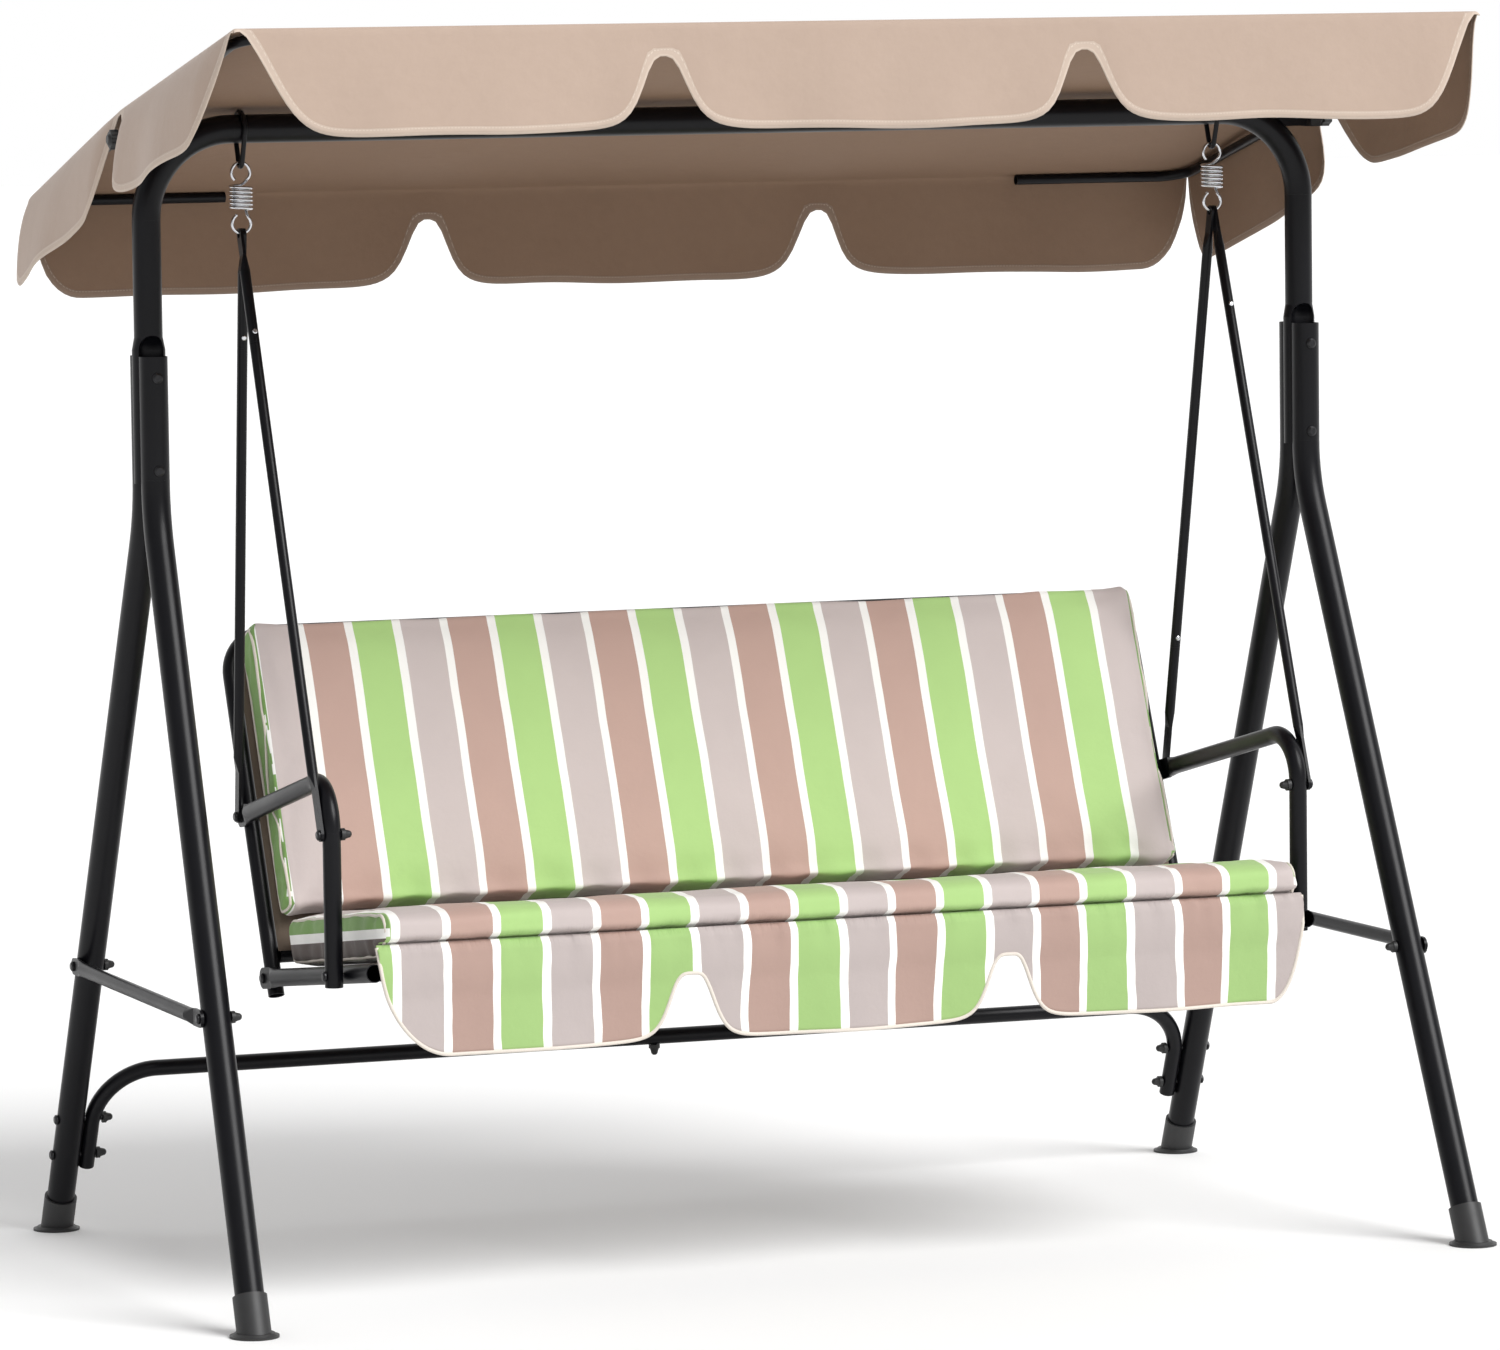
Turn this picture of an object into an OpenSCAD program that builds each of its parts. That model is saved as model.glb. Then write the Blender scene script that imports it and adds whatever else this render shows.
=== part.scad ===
/* [Stand] */
// Half the distance between the left and right feet, centre to centre
foot_x = 860; // [840:1:880]
// Distance of each foot from the middle, front and rear
foot_y = 480; // [460:1:500]
// Half the distance between the tops of the two A-frames
post_x = 833; // [825:1:838]
// Outer diameter of the leg tubes and of the top tube
leg_d = 38; // [36:0.5:40]
// Wall of every tube
wall = 1.2; // [1:0.1:2]
// Height of the tops of the legs
leg_top = 1230; // [1220:1:1240]
// Centre height of the top tube
top_z = 1526; // [1515:1:1540]
// Centre-line radius of the top tube's corners
corner_r = 118; // [110:1:125]
// Centre height of the side braces
brace_z = 388; // [375:1:400]
// Centre height of the rear crossbar
cross_z = 232; // [222:1:242]

/* [Suspension] */
// Half the distance between the two springs
spring_x = 702; // [695:1:706]
// Height at which the spring hooks hang in the wire loops
hook_z = 1482; // [1478:1:1486]
// Height of the pins of the rods in the lower spring hooks
eye_z = 1390; // [1386:1:1394]
// Wire diameter of the springs
wire_d = 4.4; // [4:0.1:4.6]
// Outer diameter of the springs
spring_d = 33; // [31:0.5:34]
// Diameter of the hanging rods
rod_d = 14; // [12:0.5:15]

/* [Seat] */
// Half the distance between the arms, centre to centre
arm_x = 688; // [684:1:690]
// Outer diameter of the arm tubes and of the seat frame
arm_d = 24; // [22:0.5:25]
// Distance of the front arm posts from the middle
arm_front = 300; // [295:1:305]
// Height at which the arms meet the back frame
arm_rear_z = 600; // [590:1:610]
// Lean of the back from upright
back_lean = 23.5; // [20:0.5:26]
// Slope of the seat, up towards the front
seat_slope = 7.5; // [6:0.5:9]
// Half the width of the cushions
cushion_x = 652; // [640:1:655]
// Thickness of the seat cushion
seat_pad = 68; // [60:1:70]
// Thickness of the back cushion
back_pad = 54; // [45:1:58]

/* [Canopy] */
// Half the width of the canopy
canopy_x = 866; // [864:1:870]
// Distance of the canopy's front edge from the middle
canopy_front = 507; // [500:1:508]
// Distance of the canopy's rear edge from the middle
canopy_rear = 449; // [440:1:460]
// Depth of the canopy's hanging edge
valance = 138; // [120:1:145]
// Slope of the canopy, up towards the front
canopy_slope = 13.5; // [10:0.5:15]

/* [Hidden] */
$fn = 48;
black = "#1c1c1f";
beige = "#cdb7a4";
brown = "#6b5a4b";
sides = [-1, 1];
leg_r = leg_d / 2;
rod_r = rod_d / 2;
arm_r = arm_d / 2;
back_r = 11;
brace_r = 9.5;
cross_r = 11;
pole_r = 7;
sole = 3;
foot_in = 12;
bolt_r = 4;
hole_r = 4.1;
screw_r = 2;
plate = 4;

// A-frame legs: they bend upright and stand either side of the top tube's posts
leg_y = leg_r + 1.3;
bend_z = 1020;
leg_bolt_z = [1202, 1080];
function foot_at(s, f) = [s * (foot_x - (f > 0 ? foot_in : 0)), f * foot_y, 0];
function bend_at(s, f) = [s * post_x, f * leg_y, bend_z];
function leg_at(s, f, z) = foot_at(s, f) + (bend_at(s, f) - foot_at(s, f)) * z / bend_z;

// Top tube, in two halves with a plugged seam right of the middle
post_bottom = 1062;
crimp_top = 1264;
seam_x = 28;
screw_x = [-12, 14];
plug = 62;

// Rear crossbar, whose ends run down beside the rear legs
cross_bolt_z = [164, 112];
cross_end_z = 94;
cross_bend = 85;
function cross_at(s, z) = leg_at(s, 1, z) - [s * (leg_r + cross_r + 0.6), 0, 0];

// Wire loops over the top tube and the springs that hang in them
loop_wire = 3.3;
loop_r = leg_r + loop_wire + 0.3;
loop_tip = 8;
loop_z = hook_z - wire_d / 2 - loop_wire - 0.3;
loop_lean = asin((loop_r - loop_tip) / (top_z - loop_z - loop_tip));
ring_r = 13;
coil_h = 34;
coil_turns = 7;
coil_z = (hook_z + eye_z) / 2;

// Back of the seat: a line that leans back from the rear of the seat frame
back_foot = [36, 383];
function back_y(z) = back_foot[0] + (z - back_foot[1]) * tan(back_lean);
back_top = 838;
seat_joint_z = 391;
rear_bar_z = 420;
frame_x = arm_x - arm_r - back_r - 1.3;
arm_rear = back_y(arm_rear_z);

// Seat frame: two side tubes, a front bar and a rear bar
seat_z = 392;
seat_y0 = 10;
seat_front = 385;
flap_x = cushion_x + 3;
side_front_x = arm_x - 28;
function tube_z(y) = seat_z + (seat_y0 - y) * tan(seat_slope);
arm_bend = 60;
arm_top_z = 694;
arm_bolt_z = 617;

// Canopy: a fold over the top tube, carried by two bent poles and tilted on two knobs
pivot_z = 1515;
bracket_bolt_x = 826;
ridge_z = top_z + leg_r + 11.6;
cloth = 3;
canopy_line = 1540;
pole_x = canopy_x - 13;
pole_in = 262;
pole_bend = 45;
canopy_span = canopy_front + canopy_rear;
function edge_z(y) = canopy_line - y * tan(canopy_slope);

// Placing: a rigid frame from three axes and an origin, and one whose z axis runs from a to b
function unit(v) = v / norm(v);
function side_of(z) = abs(z[0]) < 0.9 ? unit([1, 0, 0] - z[0] * z) : unit([0, 1, 0] - z[1] * z);
module place(x, y, z, o)
  multmatrix([
    [x[0], y[0], z[0], o[0]],
    [x[1], y[1], z[1], o[1]],
    [x[2], y[2], z[2], o[2]],
    [0, 0, 0, 1]
  ]) children();
module along(a, b) {
  z = unit(b - a);
  x = side_of(z);
  place(x, cross(z, x), z, a) children();
}
module bar(a, b, r) along(a, b) cylinder(r = r, h = norm(b - a));

// A round bar or tube through a list of points, with part of a torus at each corner.
// Each stretch is a solid of its own, a hair short of the next
hair = 0.02;
function turn(p, i) = acos(unit(p[i] - p[i - 1]) * unit(p[i + 1] - p[i]));
function cut_back(p, i, bend) = i == 0 || i == len(p) - 1 ? 0 : bend * tan(turn(p, i) / 2) + hair;
module pipe(a, b, r, inner) along(a, b) difference() {
  cylinder(r = r, h = norm(b - a));
  if (inner > 0) translate([0, 0, -1]) cylinder(r = inner, h = norm(b - a) + 2);
}
module bent(p, bend, r, inner = 0) {
  for (i = [0 : len(p) - 2]) {
    d = unit(p[i + 1] - p[i]);
    pipe(p[i] + d * cut_back(p, i, bend), p[i + 1] - d * cut_back(p, i + 1, bend), r, inner);
  }
  for (i = [1 : 1 : len(p) - 2]) {
    u = unit(p[i] - p[i - 1]);
    v = unit(p[i + 1] - p[i]);
    n = unit(v - (u * v) * u);
    place(-n, u, cross(u, n), p[i] - u * (cut_back(p, i, bend) - hair) + n * bend)
      rotate_extrude(angle = turn(p, i), $fn = 96) translate([bend, 0]) difference() {
        circle(r = r);
        if (inner > 0) circle(r = inner);
      }
  }
}
module bent_tube(p, bend, r) bent(p, bend, r, r - wall);
// The swaged end of a tube of radius r: it starts in the tube's wall at a and reaches to b
module swage(a, b, r) {
  d = unit(b - a);
  pipe(a - d * 12, a - d, r - wall / 2, r - 2 * wall);
  pipe(a - d * 1.5, b, r - wall - 0.1, r - 2 * wall);
}

// Fasteners, standing at the origin: the shank runs down -z, the head is above
module bolt(reach, r = bolt_r) {
  cylinder(r = r * 1.7, h = r * 0.55);
  translate([0, 0, r * 0.55]) cylinder(r1 = r * 1.7, r2 = r * 1.1, h = r * 0.45);
  translate([0, 0, -reach]) cylinder(r = r, h = reach);
}
module dome_cap() {
  difference() {
    union() {
      cylinder(r = 8, h = 5);
      translate([0, 0, 5]) cylinder(r1 = 6.6, r2 = 5, h = 5);
      translate([0, 0, 10]) sphere(r = 5, $fn = 32);
    }
    translate([0, 0, -1]) cylinder(r = hole_r, h = 9);
  }
}
module facing(p, d) along(p, p + d) children();

// Stand
module leg(s, f) color(black) difference() {
  bent_tube([leg_at(s, f, -40), bend_at(s, f), [s * post_x, f * leg_y, leg_top]], 220, leg_r);
  translate([-1200, -1200, -200]) cube([2400, 2400, 200 + sole]);
  post_holes(s, 100);
  brace_hole(s, f);
  if (f > 0) for (z = cross_bolt_z) cross_hole(s, z);
}
module brace_hole(s, f) {
  translate(leg_at(s, f, brace_z)) rotate([0, 90, 0]) cylinder(r = hole_r, h = 60, center = true);
}
module cross_hole(s, z) {
  translate(leg_at(s, 1, z)) rotate([0, 90, 0]) cylinder(r = hole_r, h = 120, center = true);
}
module foot(s, f) color("#101012") {
  low = foot_at(s, f);
  d = unit(bend_at(s, f) - low);
  difference() {
    union() {
      translate(low) cylinder(r = 32, h = sole);
      translate(low) translate([0, 0, sole]) cylinder(r1 = 29, r2 = 26, h = 3);
      bar(low - d * 20, low + d * 54, leg_r + 3.4);
    }
    translate(low - [60, 60, 60]) cube([120, 120, 60]);
    intersection() {
      bar(low - d * 40, low + d * 80, leg_r + 0.05);
      translate(low + [-60, -60, sole]) cube([120, 120, 120]);
    }
  }
}

// Lower end of a post: pressed to an hourglass that the two legs nest in
module pressed_end(s) {
  translate([s * post_x, 0, 0]) difference() {
    union() {
      translate([0, 0, post_bottom]) cylinder(r = leg_r, h = crimp_top - post_bottom);
      for (x = [-8.5, 8.5]) translate([x, 0, post_bottom]) cylinder(r = 14, h = 176);
      translate([-8.5, -14, post_bottom]) cube([17, 28, 176]);
      hull() {
        for (x = [-8.5, 8.5]) translate([x, 0, post_bottom + 176]) cylinder(r = 14, h = 0.1, $fn = 32);
        translate([0, 0, crimp_top - 8]) cylinder(r = leg_r - 0.2, h = 0.1, $fn = 32);
      }
    }
    for (f = sides) translate([0, f * leg_y, 0]) {
      translate([0, 0, post_bottom - 10]) cylinder(r = leg_r + 0.3, h = leg_top + 18 - post_bottom);
      translate([0, 0, leg_top + 8]) sphere(r = leg_r + 0.3);
    }
  }
}
module post_holes(s, through) {
  for (z = leg_bolt_z) translate([s * post_x, 0, z]) rotate([90, 0, 0])
    cylinder(r = hole_r, h = through, center = true);
}
function rail(s, x_end) = [[s * post_x, 0, crimp_top], [s * post_x, 0, top_z], [x_end, 0, top_z]];
module screw_hole(p) translate(p) rotate([90, 0, 0]) cylinder(r = screw_r + 0.1, h = 16, $fn = 24);
module screw_holes() for (x = screw_x) screw_hole([x, -leg_r + 6, top_z]);
module top_tube_left() color(black) difference() {
  union() {
    bent_tube(rail(-1, seam_x), corner_r, leg_r);
    pressed_end(-1);
  }
  post_holes(-1, 60);
  screw_holes();
}
module top_tube_right() color(black) difference() {
  union() {
    bent_tube(rail(1, seam_x + 0.3), corner_r, leg_r);
    swage([seam_x + 0.3, 0, top_z], [seam_x - plug, 0, top_z], leg_r);
    pressed_end(1);
  }
  post_holes(1, 60);
  screw_holes();
}

// Braces along each side, flattened and bolted outside the legs
function brace_end(s, f) = leg_at(s, f, brace_z) + [s * (leg_r + 0.6 + plate / 2), 0, 0];
module flat_end(p, q, tip, flat, r, taper) {
  along(p, q) {
    intersection() {
      translate([-plate / 2, -r * 1.2, -tip]) cube([plate, r * 2.4, flat + tip + 0.5]);
      union() {
        rotate([0, 90, 0]) cylinder(r = r * 1.2, h = 2 * plate, center = true);
        translate([-plate, -r * 1.2, 0]) cube([2 * plate, r * 2.4, flat + 0.5]);
      }
    }
    hull() {
      translate([-plate / 2, -r * 1.15, flat]) cube([plate, r * 2.3, 0.2]);
      translate([0, 0, flat + taper]) cylinder(r = r - 0.1, h = 0.2, $fn = 32);
    }
  }
}
module side_brace(s) color(black) difference() {
  a = brace_end(s, -1);
  b = brace_end(s, 1);
  d = unit(b - a);
  union() {
    bar(a + d * 48, b - d * 48, brace_r);
    flat_end(a, b, 12, 26, brace_r, 22.2);
    flat_end(b, a, 12, 26, brace_r, 22.2);
  }
  brace_hole(s, -1);
  brace_hole(s, 1);
}

// Crossbar between the rear legs: one half is swaged and plugs into the other
function cross_path(s) = [
  [0, cross_at(s, cross_z)[1], cross_z],
  cross_at(s, cross_z),
  cross_at(s, cross_end_z)
];
module cross_end_holes(s) {
  for (z = cross_bolt_z) cross_hole(s, z);
  translate([0, cross_at(s, cross_z)[1], cross_z]) cylinder(r = hole_r - 1, h = 60, center = true);
}
module crossbar_right() color(black) difference() {
  bent_tube(cross_path(1) - [[40, 0, 0], [0, 0, 0], [0, 0, 0]], cross_bend, cross_r);
  cross_end_holes(1);
}
module crossbar_left() color(black) difference() {
  union() {
    bent_tube(cross_path(-1) - [[40.3, 0, 0], [0, 0, 0], [0, 0, 0]], cross_bend, cross_r);
    y = cross_at(-1, cross_z)[1];
    swage([-40.3, y, cross_z], [30, y, cross_z], cross_r);
  }
  cross_end_holes(-1);
}

// Wire loops and springs
module hanger_loop(s) color(black) {
  translate([s * spring_x, 0, 0]) rotate([0, 0, 90]) {
    translate([0, 0, top_z]) rotate([90, 0, 0]) rotate([0, 0, -loop_lean])
      rotate_extrude(angle = 180 + 2 * loop_lean, $fn = 96) translate([loop_r, 0]) circle(r = loop_wire);
    translate([0, 0, loop_z + loop_tip]) rotate([90, 0, 0]) rotate([0, 0, 180 + loop_lean])
      rotate_extrude(angle = 180 - 2 * loop_lean, $fn = 96) translate([loop_tip, 0]) circle(r = loop_wire);
    for (k = sides) {
      n = [k * cos(loop_lean), 0, -sin(loop_lean)];
      top = [0, 0, top_z] + n * loop_r;
      low = [0, 0, loop_z + loop_tip] + n * loop_tip;
      bar(top - unit(top - low) * hair, low + unit(top - low) * hair, loop_wire);
    }
  }
}
module spring(s) color("silver") translate([s * spring_x, 0, 0]) {
  coil_r = spring_d / 2 - wire_d / 2;
  pitch = (coil_h - wire_d) / (coil_turns - 1);
  low = coil_z - coil_h / 2;
  rotate_extrude($fn = 72) union() {
    for (i = [0 : coil_turns - 1]) translate([coil_r, low + wire_d / 2 + i * pitch]) circle(r = wire_d / 2);
    translate([coil_r - 0.8, low + wire_d / 2]) square([1.6, coil_h - wire_d]);
  }
  for (k = sides) {
    pin = k > 0 ? hook_z : eye_z - 1.5;
    ring_z = pin - k * ring_r;
    translate([0, 0, ring_z]) rotate([90, 0, 0]) rotate_extrude($fn = 72)
      translate([ring_r, 0]) circle(r = wire_d / 2);
    end = [coil_r, 0, coil_z + k * (coil_h / 2 - wire_d / 2)];
    bar([ring_r * 0.866, 0, ring_z - k * ring_r * 0.5], end, wire_d / 2);
  }
}

// Hanging rods: flattened at both ends, in two lengths that plug together and are screwed
function rod_top(s, f) = [s * (spring_x + (f < 0 ? 2.3 : -2.3)), 0, eye_z - 3.2];
function rod_foot(s, f) = f < 0
  ? [s * (arm_x + arm_r + 0.5 + plate / 2), -arm_front, arm_bolt_z]
  : [s * (frame_x + back_r + 0.6 + plate * 1.5 + 0.4), arm_rear, arm_rear_z];
function rod_joint(s, f) = s > 0 && f > 0 ? 620 : 152;
module rod_upper(s, f) color(black) difference() {
  a = rod_top(s, f);
  b = rod_foot(s, f);
  d = unit(b - a);
  union() {
    bar(a + d * 50, a + d * rod_joint(s, f), rod_r);
    flat_end(a, b, 9, 30, rod_r, 20.2);
  }
  translate(a) rotate([0, 90, 0]) cylinder(r = 5, h = 20, center = true);
  bar(a + d * (rod_joint(s, f) - 40), a + d * (rod_joint(s, f) + 1), rod_r - wall);
  rod_screw_hole(s, f);
}
module rod_lower(s, f) color(black) difference() {
  a = rod_top(s, f);
  b = rod_foot(s, f);
  d = unit(b - a);
  union() {
    bar(a + d * (rod_joint(s, f) + 0.3), b - d * 82, rod_r);
    bar(a + d * (rod_joint(s, f) - 34), a + d * (rod_joint(s, f) + 1), rod_r - wall - 0.1);
    flat_end(b, a, 12, 62, rod_r, 20.2);
  }
  translate(b) rotate([0, 90, 0]) cylinder(r = hole_r, h = 20, center = true);
  rod_screw_hole(s, f);
}
function rod_screw_at(s, f) = rod_top(s, f) + unit(rod_foot(s, f) - rod_top(s, f)) * (rod_joint(s, f) - 14);
function rod_screw_way(s, f) = unit(cross(rod_foot(s, f) - rod_top(s, f), [1, 0, 0]));
module rod_screw_hole(s, f) along(rod_screw_at(s, f), rod_screw_at(s, f) + rod_screw_way(s, f))
  cylinder(r = screw_r + 0.1, h = 16, $fn = 24);

// Seat
function arm_path(s) = [
  [s * (frame_x + back_r + 0.3 + plate / 2), arm_rear, arm_rear_z],
  [s * arm_x, -arm_front, arm_top_z],
  [s * arm_x, -arm_front, tube_z(-arm_front) - 15]
];
module cross_drill(x, y, z) translate([x, y, z]) rotate([0, 90, 0])
  cylinder(r = hole_r, h = 90, center = true);
module seat_holes(s) {
  cross_drill(s * arm_x, -arm_front, arm_bolt_z);
  cross_drill(s * arm_x, -arm_front, tube_z(-arm_front));
  cross_drill(s * frame_x, arm_rear, arm_rear_z);
  cross_drill(s * frame_x, back_y(seat_joint_z), seat_joint_z);
}
module arm(s) color(black) difference() {
  p = arm_path(s);
  d = unit(p[1] - p[0]);
  union() {
    bent_tube([p[0] + d * 48, p[1], p[2]], arm_bend, arm_r);
    flat_end(p[0], p[1], 13, 24, arm_r, 24.2);
  }
  seat_holes(s);
}
module back_frame(s) color(black) difference() {
  top = [s * frame_x, back_y(back_top), back_top];
  low = [s * frame_x, back_y(368), 368];
  mid = [s * 0.2, back_y(back_top), back_top];
  union() {
    bent_tube([low, top, mid], 60, back_r);
    if (s > 0) swage(mid, mid - [40, 0, 0], back_r);
  }
  seat_holes(s);
}
function side_rear(s) = [s * (frame_x + back_r + 0.3 + plate / 2), back_y(seat_joint_z), seat_joint_z];
function side_front(s) = [s * side_front_x, -seat_front, tube_z(-seat_front)];
module seat_side(s) color(black) difference() {
  a = side_rear(s);
  b = side_front(s);
  d = unit(b - a);
  union() {
    difference() {
      bar(a + d * 52, b, arm_r);
      bar(a + d * 51, b + d, arm_r - wall);
    }
    flat_end(a, b, 14, 28, arm_r, 24.2);
  }
  seat_holes(s);
}
front_bar_y = 371;
front_bar_half = side_front_x - arm_r - 0.2;
rear_bar_half = frame_x - back_r - 0.2;
module seat_bar(half, y, z) color(black) difference() {
  bar([-half, y, z], [half, y, z], back_r);
  bar([-half - 1, y, z], [half + 1, y, z], back_r - wall);
}
module on_seat() translate([0, seat_y0, seat_z]) rotate([-seat_slope, 0, 0]) children();
module on_back() translate([0, back_foot[0], back_foot[1]]) rotate([-back_lean, 0, 0]) children();
sling = 1.6;
seat_sling_z = arm_r + 0.3;
back_sling_y = back_r + 0.3;
module seat_sling() color(brown) on_seat()
  translate([-656, -386, seat_sling_z]) cube([1312, 400, sling]);
module back_sling() color(brown) on_back()
  translate([-656, -back_sling_y - sling, 42]) cube([1312, sling, 436]);

// A soft block with rounded long edges, lying along x
module pad(half, y0, y1, z0, z1, round) hull()
  for (y = [y0 + round, y1 - round]) for (z = [z0 + round, z1 - round])
    translate([-half, y, z]) rotate([0, 90, 0]) cylinder(r = round, h = 2 * half, $fn = 32);
back_low = 82;
back_high = 485;
module back_cushion() color("#d9d3c6") on_back() {
  y = back_sling_y + sling + 0.4;
  pad(cushion_x, -y - back_pad, -y, back_low, back_high, 20);
}
module seat_cushion() color("#cfc6bb") on_seat() {
  z = seat_sling_z + sling + 0.4;
  pad(cushion_x, -399, 12, z, z + seat_pad, 24);
}

// Depth of a hanging edge at s along a length: nothing at the corners, bell-shaped notches between
function corner_ease(s, w) = 1 - exp(-pow(s / w, 2));
function notch_ease(s, at, w, peak) = 1 - (1 - peak) * exp(-pow(abs(s - at) / w, 3));
function hang(s, length, deep, ends, at, w, peak) =
  max(3, deep * corner_ease(s, ends) * corner_ease(length - s, ends)
    * min([for (a = at) notch_ease(s, a, w, peak)]));
steps = 120;
module front_edge(half, deep, ends, at, w, peak) linear_extrude(height = cloth) polygon(concat(
  [for (i = [0 : steps]) let (s = 2 * half * i / steps)
    [s - half, -hang(s, 2 * half, deep, ends, at, w, peak)]],
  [[half, 0], [-half, 0]]
));
function fold_z(y) = y < 0
  ? ridge_z + (edge_z(-canopy_front) - ridge_z) * -y / canopy_front
  : ridge_z + (edge_z(canopy_rear) - ridge_z) * y / canopy_rear;
flap_y = -383.2;
module seat_valance() color("#d9d3c6") translate([0, flap_y, 479]) rotate([90, 0, 0])
  front_edge(flap_x, 146, 26, [flap_x - 225, flap_x + 225], 36, 0.42);
module canopy_top() color(beige) translate([-canopy_x, 0, 0]) rotate([90, 0, 90])
  linear_extrude(height = 2 * canopy_x) polygon([
    [-canopy_front, edge_z(-canopy_front)], [0, ridge_z], [canopy_rear, edge_z(canopy_rear)],
    [canopy_rear, edge_z(canopy_rear) - cloth], [0, ridge_z - cloth],
    [-canopy_front, edge_z(-canopy_front) - cloth]
  ]);
valance_front_y = -canopy_front - 0.3;
valance_rear_y = canopy_rear + 0.3 + cloth;
module valance_across(y, z) color(beige) translate([0, y, z]) rotate([90, 0, 0])
  front_edge(canopy_x, valance, 62, [canopy_x - 292, canopy_x + 292], 40, 0.3);
module valance_side(x) color(beige) translate([x, 0, 0]) rotate([90, 0, 90])
  linear_extrude(height = cloth) polygon(concat(
    [for (i = [0 : steps]) let (s = canopy_span * i / steps, y = s - canopy_front)
      [y, fold_z(y) - hang(s, canopy_span, valance, 46, [canopy_front - 4], 40, 0.05)]],
    [[canopy_rear, fold_z(canopy_rear)], [0, ridge_z], [-canopy_front, fold_z(-canopy_front)]]
  ));

// Canopy carrier: bracket on the top tube's corner, block under the pole, knob outside
module bracket(s) color(black) difference() {
  translate([s > 0 ? 768 : -842, -11, pivot_z - 12]) cube([74, 22, 24]);
  bent(rail(s, 0), corner_r, leg_r + 0.3);
  translate([s * 740, 0, pivot_z]) rotate([0, s * 90, 0]) cylinder(r = hole_r, h = 200);
  for (y = [8, -2, 18]) screw_hole([s * bracket_bolt_x, y, pivot_z + 1]);
}
pole_drop = 10.5;
function pole_z(y) = edge_z(y) - pole_drop;
function pole_path(s) = [
  [s * (pole_x - pole_in), -canopy_front + 13, pole_z(-canopy_front + 13)],
  [s * pole_x, -canopy_front + 13, pole_z(-canopy_front + 13)],
  [s * pole_x, canopy_rear - 13, pole_z(canopy_rear - 13)],
  [s * (pole_x - pole_in), canopy_rear - 13, pole_z(canopy_rear - 13)]
];
module canopy_rod(s) color(black) bent_tube(pole_path(s), pole_bend, pole_r);
module block(s) color("#101012") difference() {
  translate([s * (pole_x + 0.2) - 7.6, -17, pivot_z - 13]) cube([15.2, 34, 28]);
  bar(pole_path(s)[1], pole_path(s)[2], pole_r + 0.2);
  translate([s * 740, 0, pivot_z]) rotate([0, s * 90, 0]) cylinder(r = hole_r, h = 200);
}
module knob(s) color("#101012") translate([s * 862, 0, pivot_z]) rotate([0, s * 90, 0]) {
  cylinder(r = 9, h = 7.5);
  translate([0, 0, 7]) cylinder(r = 11, h = 12);
  for (k = [0 : 5]) rotate([0, 0, 60 * k]) translate([10, 0, 7.5]) cylinder(r = 3.3, h = 11, $fn = 24);
  translate([0, 0, 18.5]) cylinder(r1 = 9, r2 = 6, h = 3.5);
  translate([0, 0, -50]) cylinder(r = bolt_r, h = 51);
}

// Fastener groups
cross_y = cross_at(1, cross_z)[1];
module leg_bolts() color("#3a3a3d") for (s = sides) for (z = leg_bolt_z)
  facing([s * post_x, -leg_y - leg_r - 0.2, z], [0, -1, 0]) bolt(2 * (leg_y + leg_r) + 7);
module frame_bolts() color("#3a3a3d") for (s = sides) {
  for (f = sides)
    facing(brace_end(s, f) + [s * (plate / 2 + 0.2), 0, 0], [s, 0, 0]) bolt(plate + leg_d + 8);
  for (z = cross_bolt_z)
    facing(leg_at(s, 1, z) + [s * (leg_r + 0.4), 0, 0], [s, 0, 0]) bolt(leg_d + 2 * cross_r + 8);
  facing([s * bracket_bolt_x, -11.2, pivot_z + 1], [0, -1, 0]) bolt(5.5, screw_r);
  if (s > 0) facing([0, cross_y, cross_z + cross_r + 0.2], [0, 0, 1]) bolt(2 * cross_r + 6, 2.8);
}
module frame_caps() color("#101012") for (s = sides) {
  for (z = leg_bolt_z) facing([s * post_x, leg_y + leg_r + 0.3, z], [0, 1, 0]) dome_cap();
  for (f = sides) facing(leg_at(s, f, brace_z) - [s * (leg_r + 0.4), 0, 0], [-s, 0, 0]) dome_cap();
  for (z = cross_bolt_z)
    facing(cross_at(s, z) - [s * (cross_r + (z > 140 ? 3.2 : 0.8)), 0, 0], [-s, 0, 0]) dome_cap();
  if (s > 0) facing([0, cross_y, cross_z - cross_r - 0.4], [0, 0, -1]) dome_cap();
}
module top_tube_screws() color("silver") for (x = screw_x)
  facing([x, -leg_r - 0.1, top_z], [0, -1, 0]) bolt(7, screw_r);
module seat_bolts() color("#3a3a3d") for (s = sides) {
  facing([s * (arm_x + arm_r + 0.7 + plate), -arm_front, arm_bolt_z], [s, 0, 0]) bolt(plate + arm_d + 8);
  facing(rod_foot(s, 1) + [s * (plate / 2 + 0.2), 0, 0], [s, 0, 0]) bolt(2 * plate + 2 * back_r + 9);
  facing([s * (arm_x + arm_r + 0.2), -arm_front, tube_z(-arm_front)], [s, 0, 0]) bolt(2 * arm_d + 8);
  facing(side_rear(s) + [s * (plate / 2 + 0.2), 0, 0], [s, 0, 0]) bolt(plate + 2 * back_r + 8);
}
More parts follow.
